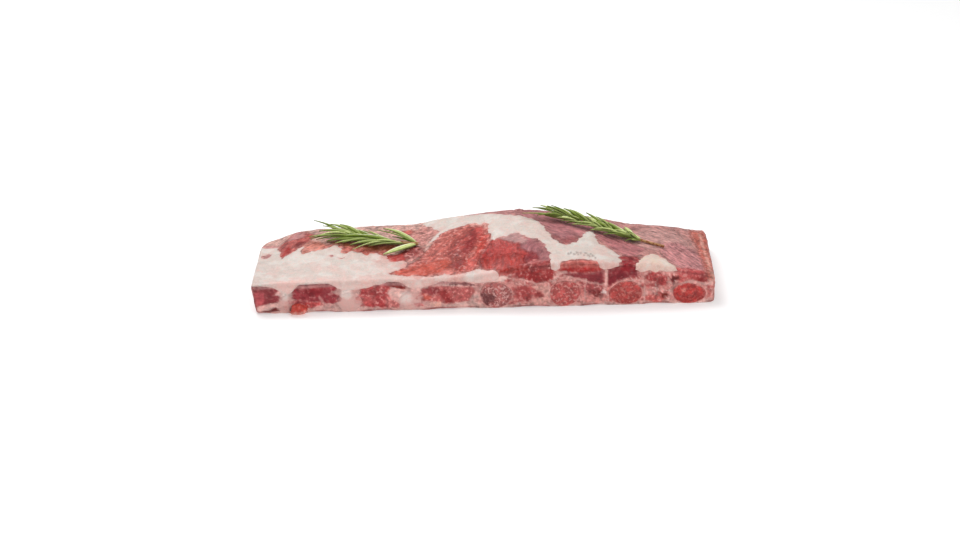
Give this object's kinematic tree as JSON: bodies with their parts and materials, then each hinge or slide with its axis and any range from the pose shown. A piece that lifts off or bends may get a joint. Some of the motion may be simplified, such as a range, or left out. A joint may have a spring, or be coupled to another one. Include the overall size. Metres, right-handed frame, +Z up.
{
  "type": "raw pork spare ribs",
  "caption": "Raw slab of pork spare ribs cut straight across its bones, with layers of fat on top and sprigs of rosemary lying over it.",
  "frame": {"origin": "under the middle of the slab, on the surface it lies on", "axes": "+X along the cut front edge towards the end with the large bones, +Y to the back, +Z up through the meat side"},
  "size_m": [0.2491, 0.086, 0.037],
  "materials": {
    "meat": "raw lean pork, moist, fibrous, dark red to mauve",
    "fat": "raw pork fat, creamy white with a faint pink tint, moist",
    "cartilage": "cut rib cartilage, white to pale pink, moist",
    "bone": "sawn rib bone, spongy red marrow in a thin pale ring, moist",
    "rosemary": "fresh rosemary, narrow mid-green leaves on a brownish stem"
  },
  "bodies": {
    "root": {"meat": "meat", "fat_cap": "fat", "fat_band": "fat", "fat_knob": "fat", "cartilage_1": "cartilage", "cartilage_2": "cartilage", "cartilage_3": "cartilage", "bone_1": "bone", "bone_2": "bone", "bone_3": "bone", "bone_4": "bone", "rosemary_left": "rosemary", "rosemary_right": "rosemary"}
  },
  "joints": []
}
